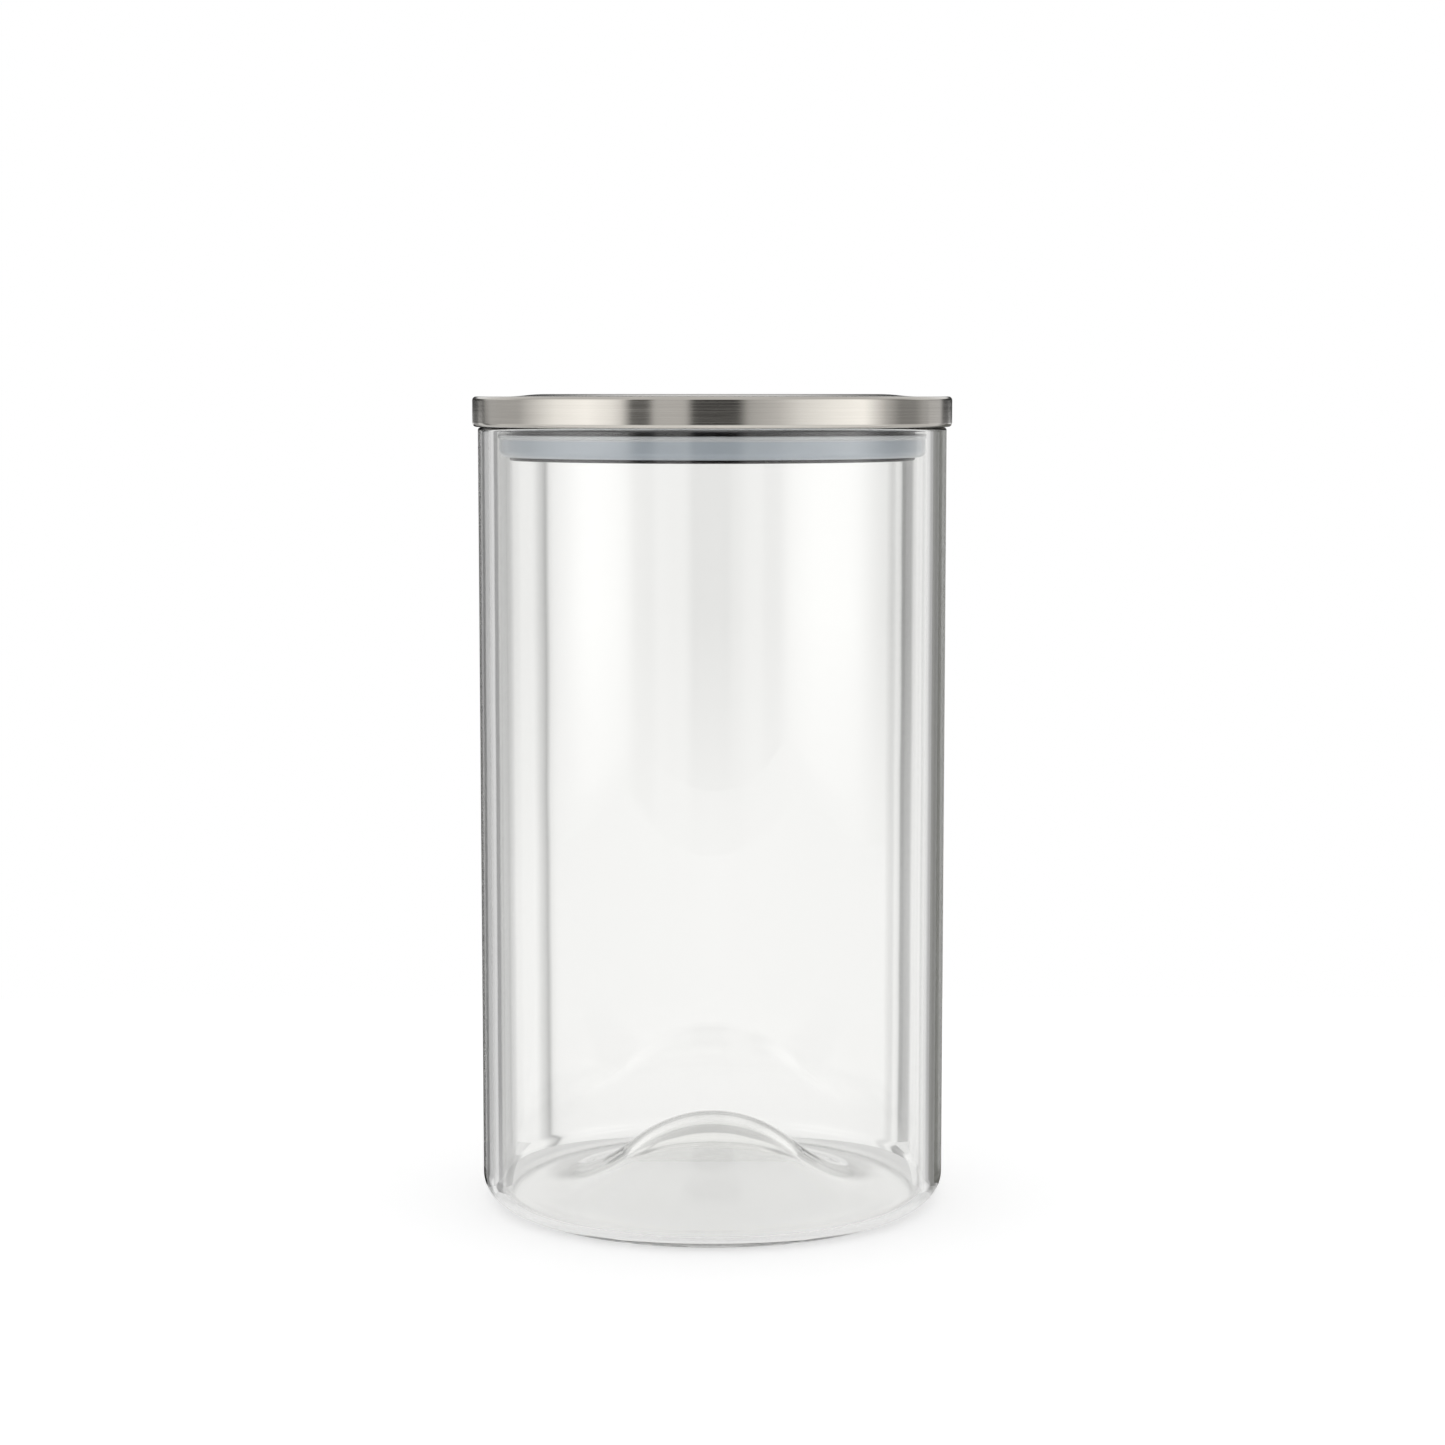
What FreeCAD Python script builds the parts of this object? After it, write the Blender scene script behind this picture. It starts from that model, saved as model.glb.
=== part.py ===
import FreeCAD, Part
import enum
import math
import os
import Sketcher

# Lidded glass canister: a straight glass jar, and a push-in lid of a steel cap, a moulded plug and a seal.
# Millimetres, +Z up. The origin is the middle of the jar's underside, on the surface that it stands on.

# Driving dimensions
SIZES = {
    # glass jar
    "jar_diameter": 100.0,
    "jar_height": 167.3,
    "jar_wall": 4.0,
    "floor_thickness": 2.4,
    "floor_corner": 3.0,
    "heel_round": 6.0,
    "foot_width": 4.0,
    "push_up": 15.6,
    "crown_radius": 18.0,
    "rim_round": 0.8,
    # drawn steel cap
    "cap_overhang": 1.15,
    "cap_height": 6.4,
    "sheet": 0.5,
    "cap_edge_round": 0.8,
    "panel_margin": 7.0,
    "panel_slope": 8.5,
    "panel_rise": 0.5,
    "hem_width": 4.7,
    "hem_round": 0.8,
    # moulded plug
    "plug_depth": 7.0,
    "plug_wall": 1.8,
    "plug_play": 0.1,
    "neck_height": 1.5,
    "lip_height": 0.7,
    "lip_clearance": 2.7,
    "lip_round": 0.3,
    "hub_diameter": 24.0,
    "rib_thickness": 1.2,
    "rib_count": 8,
    # silicone seal
    "seal_clearance": 0.2,
    "seal_leg": 1.0,
    "seal_cup": 1.2,
    "seal_web": 1.1,
    "bead_height": 0.9,
    "bead_depth": 0.3,
    "seal_round": 1.4,
}

doc = FreeCAD.newDocument("lidded_canister")
sizes = doc.addObject("Spreadsheet::Sheet", "sizes")
for row, (alias, value) in enumerate(SIZES.items(), start=1):
    sizes.set(f"A{row}", alias)
    sizes.set(f"B{row}", str(value))
    sizes.setAlias(f"B{row}", alias)
doc.recompute()

# Radii and levels of the jar
JAR_R = "(sizes.jar_diameter / 2)"
BORE_R = f"({JAR_R} - sizes.jar_wall)"
FOOT_R = f"({JAR_R} - sizes.heel_round - sizes.foot_width)"
FLANK_LEVEL = f"(sizes.push_up * (1 - sizes.crown_radius / {FOOT_R}))"
FLOOR_R = f"({FOOT_R} + sizes.floor_thickness / 2)"
FLOOR_FLANK_R = f"(sizes.crown_radius * {FLOOR_R} / {FOOT_R})"
FLOOR_FLANK_LEVEL = f"({FLANK_LEVEL} + sizes.floor_thickness)"
FLOOR_TOP = "(sizes.push_up + sizes.floor_thickness)"

# Radii and levels of the cap. All of the lid's levels count from the rim that it sits on.
CAP_R = f"({JAR_R} + sizes.cap_overhang)"
CAP_BORE_R = f"({CAP_R} - sizes.sheet)"
HEM_R = f"({CAP_R} - sizes.hem_width)"
SHOULDER_R = f"({CAP_R} - sizes.panel_margin)"
PANEL_R = f"({SHOULDER_R} - sizes.panel_slope)"
SLOPE_R = f"(({SHOULDER_R} + {PANEL_R}) / 2)"
PANEL_TOP = "(sizes.cap_height + sizes.panel_rise)"
SLOPE_TOP = "(sizes.cap_height + sizes.panel_rise / 2)"
CAP_CEILING = "(sizes.cap_height - sizes.sheet)"
PANEL_CEILING = f"({PANEL_TOP} - sizes.sheet)"
SLOPE_CEILING = f"({SLOPE_TOP} - sizes.sheet)"

# Radii and levels of the seal, from the jar's bore inwards to the groove that it sits in
SEAL_R = f"({BORE_R} - sizes.seal_clearance)"
BAND_R = f"({SEAL_R} - sizes.bead_depth)"
CUP_OUTER_R = f"({BAND_R} - sizes.seal_leg)"
CUP_INNER_R = f"({CUP_OUTER_R} - sizes.seal_cup)"
GROOVE_R = f"({CUP_INNER_R} - sizes.seal_leg)"
GROOVE_TOP = "(-sizes.neck_height)"
GROOVE_FLOOR = "(sizes.lip_height - sizes.plug_depth)"
BEAD_EDGE = f"({GROOVE_TOP} - sizes.bead_height)"
CUP_FLOOR = f"({GROOVE_FLOOR} + sizes.seal_web)"

# Radii and levels of the plug, which carries the seal and fills the cap
PLUG_BOTTOM = "(-sizes.plug_depth)"
PLUG_FLOOR = f"({PLUG_BOTTOM} + sizes.plug_wall)"
PLUG_TOP = f"({CAP_CEILING} - sizes.plug_play)"
PLUG_R = f"({CAP_BORE_R} - sizes.plug_play)"
PLUG_BORE_R = f"({GROOVE_R} - sizes.plug_wall)"
LIP_R = f"({BORE_R} - sizes.lip_clearance)"
REBATE_R = f"({HEM_R} - sizes.plug_play)"
FLANGE_TOP = "(sizes.sheet + sizes.plug_wall)"
COLLAR_R = f"({PLUG_R} - sizes.plug_wall)"
HUB_R = "(sizes.hub_diameter / 2)"
HUB_BORE_R = f"({HUB_R} - sizes.plug_wall)"

# How an outline goes on from one point to the next
LINE = "straight line"
LEVEL_FIRST = "arc that sets out level"
LEVEL_LAST = "arc that arrives level"

# Two edges closer than this are one edge
SAME = 0.001


class Axis(enum.IntEnum):
    """The numbers by which a sketch knows its own axes."""

    RADIAL = -1
    TURNING = -2


class Spot(enum.IntEnum):
    """The numbers by which a sketch knows the points of a line or an arc."""

    FIRST = 1
    LAST = 2
    CENTRE = 3


def measure(expression):
    """The number that an expression of the sheet's sizes gives."""
    return float(sizes.evalExpression(expression))


def new_body(label, level=None):
    """A body that stands for one piece, at a level given as an expression."""
    body = doc.addObject("PartDesign::Body", label)
    body.Label = label
    if level:
        body.setExpression("Placement.Base.z", level)
    return body


def origin_plane(body, role):
    """One of the body's own origin planes."""
    return next(plane for plane in body.Origin.OriginFeatures if plane.Role == role)


def add_arc(sketch, start, end, level, other):
    """Adds the arc from start to end that is level at one of them. Gives its number and its ends in order."""
    rise = other[1] - level[1]
    centre_level = level[1] + ((other[0] - level[0]) ** 2 + rise**2) / (2 * rise)
    centre = FreeCAD.Vector(level[0], centre_level, 0)
    circle = Part.Circle(centre, FreeCAD.Vector(0, 0, 1), abs(centre_level - level[1]))
    first, last = (math.atan2(point[1] - centre.y, point[0] - centre.x) for point in (start, end))
    edge = sketch.addGeometry(Part.ArcOfCircle(circle, min(first, last), max(first, last)))
    ends = (Spot.FIRST, Spot.LAST) if first < last else (Spot.LAST, Spot.FIRST)
    level_end = ends[0] if level is start else ends[1]
    sketch.addConstraint(Sketcher.Constraint("Vertical", edge, Spot.CENTRE, edge, level_end))
    return edge, *ends


def add_line(sketch, start, end):
    """Adds the line between two points. Gives its number and its ends in order."""
    edge = sketch.addGeometry(Part.LineSegment(FreeCAD.Vector(*start, 0), FreeCAD.Vector(*end, 0)))
    return edge, Spot.FIRST, Spot.LAST


def place_point(sketch, edge, end, radius, level):
    """Ties one corner of an outline to its radius and its level."""
    for kind, axis, expression in (("DistanceX", Axis.TURNING, radius), ("DistanceY", Axis.RADIAL, level)):
        if expression == "0":
            sketch.addConstraint(Sketcher.Constraint("PointOnObject", edge, end, axis))
            continue
        middle = (Axis.RADIAL, Spot.FIRST)
        tie = sketch.addConstraint(Sketcher.Constraint(kind, *middle, edge, end, measure(expression)))
        sketch.setExpression(f"Constraints[{tie}]", expression)


def section(body, name, outline):
    """A closed sketch on the plane through the axis. Each corner of the outline is a radius and a level, both
    expressions, and the way that the outline goes on from it."""
    sketch = body.newObject("Sketcher::SketchObject", name)
    sketch.AttachmentSupport = [(origin_plane(body, "XZ_Plane"), "")]
    sketch.MapMode = "FlatFace"
    corners = [(measure(radius), measure(level)) for radius, level, way in outline]
    edges = []
    for start, end, (radius, level, way) in zip(corners, corners[1:] + corners[:1], outline):
        if way == LEVEL_FIRST:
            edges.append(add_arc(sketch, start, end, start, end))
        elif way == LEVEL_LAST:
            edges.append(add_arc(sketch, start, end, end, start))
        else:
            edges.append(add_line(sketch, start, end))
    for before, (edge, first, last), (radius, level, way) in zip(edges[-1:] + edges[:-1], edges, outline):
        sketch.addConstraint(Sketcher.Constraint("Coincident", before[0], before[2], edge, first))
        place_point(sketch, edge, first, radius, level)
    return sketch


def turn(body, name, outline):
    """Turns a section once round the body's axis."""
    sketch = section(body, name + "_section", outline)
    solid = body.newObject("PartDesign::Revolution", name)
    solid.Profile = sketch
    solid.ReferenceAxis = (sketch, ["V_Axis"])
    solid.Angle = 360
    sketch.Visibility = False
    doc.recompute()
    return solid


def round_edges(body, base, name, radius, rings):
    """Rounds the circular edges of a turned piece that lie at the given radii and levels."""
    wanted = [(measure(ring_radius), measure(level)) for ring_radius, level in rings]
    names = []
    for number, edge in enumerate(base.Shape.Edges, start=1):
        if edge.Degenerated or not isinstance(edge.Curve, Part.Circle):
            continue
        ring = (edge.Curve.Radius, edge.Curve.Center.z)
        if any(math.dist(ring, spot) < SAME for spot in wanted):
            names.append(f"Edge{number}")
    if len(names) != len(wanted):
        raise RuntimeError(f"{name}: {len(names)} of {len(wanted)} edges found")
    fillet = body.newObject("PartDesign::Fillet", name)
    fillet.Base = (base, names)
    fillet.setExpression("Radius", radius)
    doc.recompute()
    return fillet


def make_jar():
    """The jar: a straight blown wall and a thinner floor, pushed up in the middle to a soft bell."""
    body = new_body("glass_jar")
    outline = [
        ("0", "sizes.push_up", LEVEL_FIRST),
        ("sizes.crown_radius", FLANK_LEVEL, LEVEL_LAST),
        (FOOT_R, "0", LINE),
        (JAR_R, "0", LINE),
        (JAR_R, "sizes.jar_height", LINE),
        (BORE_R, "sizes.jar_height", LINE),
        (BORE_R, "sizes.floor_thickness", LINE),
        (FLOOR_R, "sizes.floor_thickness", LEVEL_FIRST),
        (FLOOR_FLANK_R, FLOOR_FLANK_LEVEL, LEVEL_LAST),
        ("0", FLOOR_TOP, LINE),
    ]
    glass = turn(body, "jar_blank", outline)
    glass = round_edges(body, glass, "heel", "sizes.heel_round", [(JAR_R, "0")])
    corner = [(BORE_R, "sizes.floor_thickness")]
    glass = round_edges(body, glass, "floor_fillet", "sizes.floor_corner", corner)
    rim = [(JAR_R, "sizes.jar_height"), (BORE_R, "sizes.jar_height")]
    round_edges(body, glass, "fire_polished_rim", "min(sizes.rim_round; sizes.jar_wall * 0.45)", rim)
    return body


def make_cap():
    """The cap: one drawn sheet with a raised middle panel, its lower edge turned in under the plug."""
    body = new_body("lid_cap", "sizes.jar_height")
    outline = [
        ("0", PANEL_TOP, LINE),
        (PANEL_R, PANEL_TOP, LEVEL_FIRST),
        (SLOPE_R, SLOPE_TOP, LEVEL_LAST),
        (SHOULDER_R, "sizes.cap_height", LINE),
        (CAP_R, "sizes.cap_height", LINE),
        (CAP_R, "0", LINE),
        (HEM_R, "0", LINE),
        (HEM_R, "sizes.sheet", LINE),
        (CAP_BORE_R, "sizes.sheet", LINE),
        (CAP_BORE_R, CAP_CEILING, LINE),
        (SHOULDER_R, CAP_CEILING, LEVEL_FIRST),
        (SLOPE_R, SLOPE_CEILING, LEVEL_LAST),
        (PANEL_R, PANEL_CEILING, LINE),
        ("0", PANEL_CEILING, LINE),
    ]
    steel = turn(body, "drawn_sheet", outline)
    steel = round_edges(body, steel, "top_bend", "sizes.cap_edge_round", [(CAP_R, "sizes.cap_height")])
    inner_bend = "sizes.cap_edge_round - sizes.sheet"
    steel = round_edges(body, steel, "top_bend_inside", inner_bend, [(CAP_BORE_R, CAP_CEILING)])
    steel = round_edges(body, steel, "hem_bend", "sizes.hem_round", [(CAP_R, "0")])
    inner_hem = "sizes.hem_round - sizes.sheet"
    round_edges(body, steel, "hem_bend_inside", inner_hem, [(CAP_BORE_R, "sizes.sheet")])
    return body


def make_plug():
    """The plug: a moulded cup in the cap, with a flange on its hem, a groove for the seal and ribs inside."""
    body = new_body("lid_plug", "sizes.jar_height")
    outline = [
        ("0", PLUG_BOTTOM, LINE),
        (LIP_R, PLUG_BOTTOM, LINE),
        (LIP_R, GROOVE_FLOOR, LINE),
        (GROOVE_R, GROOVE_FLOOR, LINE),
        (GROOVE_R, GROOVE_TOP, LINE),
        (CUP_INNER_R, GROOVE_TOP, LINE),
        (CUP_INNER_R, "0", LINE),
        (REBATE_R, "0", LINE),
        (REBATE_R, "sizes.sheet", LINE),
        (PLUG_R, "sizes.sheet", LINE),
        (PLUG_R, PLUG_TOP, LINE),
        (COLLAR_R, PLUG_TOP, LINE),
        (COLLAR_R, FLANGE_TOP, LINE),
        (PLUG_BORE_R, FLANGE_TOP, LINE),
        (PLUG_BORE_R, PLUG_FLOOR, LINE),
        (HUB_R, PLUG_FLOOR, LINE),
        (HUB_R, PLUG_TOP, LINE),
        (HUB_BORE_R, PLUG_TOP, LINE),
        (HUB_BORE_R, PLUG_FLOOR, LINE),
        ("0", PLUG_FLOOR, LINE),
    ]
    moulding = turn(body, "cup", outline)
    lip = [(LIP_R, PLUG_BOTTOM), (LIP_R, GROOVE_FLOOR)]
    moulding = round_edges(body, moulding, "lip_edges", "min(sizes.lip_round; sizes.lip_height * 0.45)", lip)
    round_edges(body, moulding, "collar_edge", "sizes.cap_edge_round", [(PLUG_R, PLUG_TOP)])
    add_ribs(body)
    return body


def add_ribs(body):
    """Stiffening ribs from the plug's hub to its collar, each rooted half a wall deep in what it joins."""
    root = "sizes.plug_wall / 2"
    outline = [
        (f"{HUB_R} - {root}", f"{PLUG_FLOOR} - {root}", LINE),
        (f"{PLUG_BORE_R} + {root}", f"{PLUG_FLOOR} - {root}", LINE),
        (f"{PLUG_BORE_R} + {root}", f"{FLANGE_TOP} - {root}", LINE),
        (f"{COLLAR_R} + {root}", f"{FLANGE_TOP} - {root}", LINE),
        (f"{COLLAR_R} + {root}", f"{PLUG_TOP} - sizes.cap_edge_round", LINE),
        (f"{HUB_R} - {root}", f"{PLUG_TOP} - sizes.cap_edge_round", LINE),
    ]
    sketch = section(body, "rib_outline", outline)
    rib = body.newObject("PartDesign::Pad", "rib")
    rib.Profile = sketch
    rib.SideType = "Symmetric"
    rib.setExpression("Length", "sizes.rib_thickness")
    doc.recompute()
    ribs = body.newObject("PartDesign::PolarPattern", "ribs")
    ribs.Originals = [rib]
    ribs.Axis = (sketch, ["V_Axis"])
    ribs.Angle = 360
    ribs.setExpression("Occurrences", "sizes.rib_count")
    body.Tip = ribs
    doc.recompute()


def make_seal():
    """The seal: a cup-shaped silicone ring that opens upwards, with a bead along its outer leg's top edge."""
    body = new_body("seal_ring", "sizes.jar_height")
    outline = [
        (GROOVE_R, GROOVE_FLOOR, LINE),
        (BAND_R, GROOVE_FLOOR, LINE),
        (BAND_R, BEAD_EDGE, LINE),
        (SEAL_R, BEAD_EDGE, LINE),
        (SEAL_R, GROOVE_TOP, LINE),
        (CUP_OUTER_R, GROOVE_TOP, LINE),
        (CUP_OUTER_R, CUP_FLOOR, LINE),
        (CUP_INNER_R, CUP_FLOOR, LINE),
        (CUP_INNER_R, GROOVE_TOP, LINE),
        (GROOVE_R, GROOVE_TOP, LINE),
    ]
    silicone = turn(body, "cup_ring", outline)
    bead = [(SEAL_R, BEAD_EDGE), (SEAL_R, GROOVE_TOP)]
    silicone = round_edges(body, silicone, "bead_edges", "sizes.bead_depth * 0.9", bead)
    round_edges(body, silicone, "ring_foot", "sizes.seal_round", [(BAND_R, GROOVE_FLOOR)])
    return body


def check(bodies):
    """Stops if any step of the model failed or a piece isn't one sound solid."""
    for item in doc.Objects:
        if {"Invalid", "Error"} & set(item.State):
            raise RuntimeError(f"{item.Label} failed: {item.State}")
    for body in bodies:
        shape = body.Shape
        if shape.isNull() or not shape.isValid() or len(shape.Solids) != 1:
            raise RuntimeError(f"{body.Label} is not one sound solid")


def write(bodies):
    """Writes each piece to a file of its own name."""
    os.makedirs("parts", exist_ok=True)
    for body in bodies:
        body.Shape.exportStep(f"parts/{body.Label}.step")
        box = body.Shape.optimalBoundingBox()
        print(f"{body.Label}: {body.Shape.Volume / 1000:.2f} cm3, z {box.ZMin:.2f} to {box.ZMax:.2f}")


pieces = [make_jar(), make_cap(), make_plug(), make_seal()]
doc.recompute()
check(pieces)
write(pieces)
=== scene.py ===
# %% [markdown]
# # A lidded glass canister
#
# The object is a straight glass storage jar with a push-in lid. The lid is a brushed steel cap over a dark moulded
# plug, and a translucent silicone ring in the plug's groove seals it in the jar's mouth. The imported CAD model is the
# frame: it says where every piece is and which pieces move with the lid. This lesson dresses that frame. It starts
# with the frame, and takes the height of the jar's rim from its box.

# %% The imported model as a fixed frame
import math

import bmesh
import bpy
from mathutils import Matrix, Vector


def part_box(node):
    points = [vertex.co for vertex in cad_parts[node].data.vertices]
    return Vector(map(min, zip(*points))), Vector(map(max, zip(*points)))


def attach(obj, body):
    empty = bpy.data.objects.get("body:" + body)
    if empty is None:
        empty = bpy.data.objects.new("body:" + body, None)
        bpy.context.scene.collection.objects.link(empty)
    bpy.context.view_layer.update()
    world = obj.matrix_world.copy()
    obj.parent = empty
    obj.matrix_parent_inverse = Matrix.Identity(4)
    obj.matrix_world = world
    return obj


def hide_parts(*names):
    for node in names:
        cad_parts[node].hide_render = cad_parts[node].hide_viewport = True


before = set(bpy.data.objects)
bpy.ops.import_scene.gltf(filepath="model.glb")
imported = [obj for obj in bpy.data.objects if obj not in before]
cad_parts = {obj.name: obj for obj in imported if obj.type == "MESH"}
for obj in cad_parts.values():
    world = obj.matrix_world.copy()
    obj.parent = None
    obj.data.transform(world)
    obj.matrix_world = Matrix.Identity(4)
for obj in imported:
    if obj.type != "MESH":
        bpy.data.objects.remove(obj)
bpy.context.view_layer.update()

MM = 0.001
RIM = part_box("glass_jar")[1].z / MM

# %% [markdown]
# ## Two small helpers
#
# Every colour below is written as the sRGB hex value that a picture program shows, and Blender works in linear light,
# so one function turns the first into the second. A second function adds a node to any tree, with its settings, its
# values and its links, which keeps each material to one short line per node.

# %% Colours and nodes
def linear(hex_colour):
    """The linear colour of an sRGB hex value such as #C8C4BE."""
    channels = [int(hex_colour[start : start + 2], 16) / 255 for start in (1, 3, 5)]
    return [c / 12.92 if c <= 0.04045 else ((c + 0.055) / 1.055) ** 2.4 for c in channels] + [1.0]


def add_node(tree, kind, inputs=None, **settings):
    """Adds a node. Settings are its own properties, inputs are values or other nodes' outputs by socket name."""
    made = tree.nodes.new(kind)
    for name, value in settings.items():
        setattr(made, name, value)
    for name, value in (inputs or {}).items():
        usable = [socket for socket in made.inputs if not socket.is_unavailable]
        socket = usable[name] if isinstance(name, int) else next(s for s in usable if s.name == name)
        if isinstance(value, bpy.types.NodeSocket):
            tree.links.new(value, socket)
        else:
            socket.default_value = value
    return made


print("mid grey #808080 is", round(linear("#808080")[0], 3), "in linear light")

# %% [markdown]
# ## The camera
#
# The photograph looks at the canister from just above the lid, with a long lens: the lid's top is edge on, and the
# jar's foot curves down a little. Fitting a pinhole camera to the outlines gives an eye level with the lid's side,
# two thirds of a metre away and tilted down six degrees. The canister stands slightly left of the picture's middle,
# so the camera turns a fifth of a degree to the right, and needs no lens shift.

# %% The camera at the photograph's viewing angle
LENS, SENSOR, EYE = 77.35, 36.0, (0.0, -0.667, 0.1738)
TILT_DOWN, TURN_RIGHT = 6.003, 0.1875
camera = bpy.data.objects.new("camera", bpy.data.cameras.new("camera"))
camera.data.sensor_width = SENSOR
camera.data.lens = LENS
camera.location = EYE
camera.rotation_euler = (math.radians(90 - TILT_DOWN), 0.0, math.radians(-TURN_RIGHT))
bpy.context.scene.collection.objects.link(camera)
bpy.context.scene.camera = camera
bpy.context.scene.view_settings.view_transform = "Standard"
print("camera", [round(value, 3) for value in camera.location], "m, lens", LENS, "mm")

# %% [markdown]
# ## The studio
#
# Glass and steel have no look of their own: they show the room. The room here is a ring of soft panels at eye level,
# some light and some dark, under a broad overhead light. Lamps and boards could make it, but a world shader paints it
# by direction, which is free of noise. It starts from where a ray is going: how steeply it rises, and its angle from
# straight behind the canister and from straight in front of it.

# %% Where a ray is going
world = bpy.data.worlds.new("studio")
bpy.context.scene.world = world
world.use_nodes = True
sky = world.node_tree
sky.nodes.clear()
ray = add_node(sky, "ShaderNodeLightPath").outputs
way = add_node(sky, "ShaderNodeTexCoord").outputs["Generated"]
across, back, rise = add_node(sky, "ShaderNodeSeparateXYZ", {"Vector": way}).outputs
front = add_node(sky, "ShaderNodeMath", {0: back, 1: -1.0}, operation="MULTIPLY").outputs[0]
to_back = add_node(sky, "ShaderNodeMath", {0: across, 1: back}, operation="ARCTAN2").outputs[0]
to_front = add_node(sky, "ShaderNodeMath", {0: across, 1: front}, operation="ARCTAN2").outputs[0]
off_back = add_node(sky, "ShaderNodeMath", {0: to_back}, operation="ABSOLUTE").outputs[0]
print("directions from", len(sky.nodes), "nodes")

# %% [markdown]
# An angle picks a brightness from a colour ramp, which blends between its stops as the soft edge of a panel does. The
# first ramp is the room in front and at the sides: its light panels draw the bright bands on the steel, and the gaps
# between them the dark bands. The second ramp is the backdrop, whose dark strips draw the upright lines in the glass.

# %% Panels of light round the canister
ROOM = [
    (-180, 0.05), (-142, 0.05), (-137, 0.58), (-104, 0.60), (-92, 1.00), (-79, 1.45), (-61, 1.70), (-48, 1.40),
    (-43, 1.10), (-38, 0.15), (-30, 0.15), (-27, 0.72), (-12, 0.72), (-9, 0.06), (12, 0.06), (17, 0.60),
    (31, 0.82), (42, 1.20), (58, 1.50), (76, 1.70), (90, 0.70), (100, 0.32), (112, 0.34), (120, 0.55),
    (140, 0.55), (145, 0.05), (180, 0.05),
]
BACKDROP = [
    (-60, 0.60), (-48, 0.60), (-45, 0.25), (-39, 0.22), (-37, 0.85), (-31, 0.88), (-29, 0.45), (-25, 0.36),
    (-21, 0.36), (-17.5, 0.45), (-15.5, 0.92), (-10.1, 0.92), (-9.6, 0.75), (-9.0, 0.62), (-8.4, 0.40),
    (-8.0, 0.80), (-7.4, 0.92), (0, 0.95), (9.4, 0.92), (10.2, 0.70), (10.7, 0.73), (11.3, 0.90), (12.1, 0.86),
    (12.7, 0.30), (15.6, 0.36), (17.2, 0.92), (23.5, 0.95), (26, 0.40), (37, 0.40), (41, 0.85), (60, 0.85),
]


def panel_ramp(panels, angle):
    """A colour ramp that gives the brightness of the panels, listed as degrees and brightness, by an angle."""
    first, last = panels[0][0], panels[-1][0]
    spread = add_node(sky, "ShaderNodeMapRange", {
        "Value": angle, "From Min": math.radians(first), "From Max": math.radians(last)})
    ramp = add_node(sky, "ShaderNodeValToRGB", {"Fac": spread.outputs["Result"]})
    stops = ramp.color_ramp.elements
    while len(stops) < len(panels):
        stops.new(0.5)
    for stop, (degrees, level) in zip(stops, panels):
        stop.position = (degrees - first) / (last - first)
        stop.color = (level, level, level, 1.0)
    return ramp.outputs["Color"]


room = panel_ramp(ROOM, to_front)
strips = panel_ramp(BACKDROP, to_back)
print("studio:", len(ROOM), "stops round the room,", len(BACKDROP), "behind the jar")

# %% [markdown]
# Below eye level the panels fade to white, so that their lower ends don't stand in the glass as hard edges. Light that
# has gone through the glass meets plainer things: mid grey above the backdrop, and a pale surround at the sides and in
# front if no face has mirrored it on the way. Without them the dark panels would show right through the jar when it is
# seen from another side.

# %% A plain surround for light through the glass
BACK_SIDE = math.radians(55)
PANELS_FADE = {"From Min": -0.16, "From Max": -0.07}
WHITE, PALE, MID_GREY = "#FFFFFF", "#FAFAFA", "#B4B4B4"
NO_MIRROR = 0.5  # mirrorings are counted whole, so fewer than this is none
through = ray["Is Transmission Ray"]
fade = add_node(sky, "ShaderNodeMapRange", {"Value": rise, **PANELS_FADE}).outputs["Result"]
room = add_node(sky, "ShaderNodeMix", {"Factor": fade, "A": linear(WHITE), "B": room}, data_type="RGBA").outputs[2]
aside = add_node(sky, "ShaderNodeMath", {0: off_back, 1: BACK_SIDE}, operation="GREATER_THAN").outputs[0]
behind = add_node(sky, "ShaderNodeMath", {0: 1.0, 1: aside}, operation="SUBTRACT").outputs[0]
straight = add_node(sky, "ShaderNodeMath", {0: ray["Glossy Depth"], 1: NO_MIRROR}, operation="LESS_THAN").outputs[0]
plain = add_node(sky, "ShaderNodeMath", {0: straight, 1: behind}, operation="MAXIMUM").outputs[0]
plain = add_node(sky, "ShaderNodeMath", {0: plain, 1: through}, operation="MULTIPLY").outputs[0]
surround = add_node(sky, "ShaderNodeMix", {
    "Factor": aside, "A": linear(MID_GREY), "B": linear(PALE)}, data_type="RGBA").outputs[2]
room = add_node(sky, "ShaderNodeMix", {"Factor": plain, "A": room, "B": surround}, data_type="RGBA").outputs[2]
print("plain surround beyond", round(math.degrees(BACK_SIDE)), "degrees off the back")

# %% [markdown]
# The backdrop's strips fill the back below eye level. Far off the middle only light that the wall has mirrored meets
# them, and light straight through the jar meets the pale surround there too.

# %% The backdrop in its place
BACKDROP_TOP = -0.01
STRIPS_END = {"From Min": math.radians(26), "From Max": math.radians(30)}
past = add_node(sky, "ShaderNodeMapRange", {"Value": off_back, **STRIPS_END}).outputs["Result"]
past = add_node(sky, "ShaderNodeMath", {0: past, 1: straight}, operation="MULTIPLY").outputs[0]
past = add_node(sky, "ShaderNodeMath", {0: past, 1: through}, operation="MULTIPLY").outputs[0]
strips = add_node(sky, "ShaderNodeMix", {"Factor": past, "A": strips, "B": linear(PALE)}, data_type="RGBA").outputs[2]
low = add_node(sky, "ShaderNodeMath", {0: rise, 1: BACKDROP_TOP}, operation="LESS_THAN").outputs[0]
on_backdrop = add_node(sky, "ShaderNodeMath", {0: behind, 1: low}, operation="MULTIPLY").outputs[0]
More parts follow.
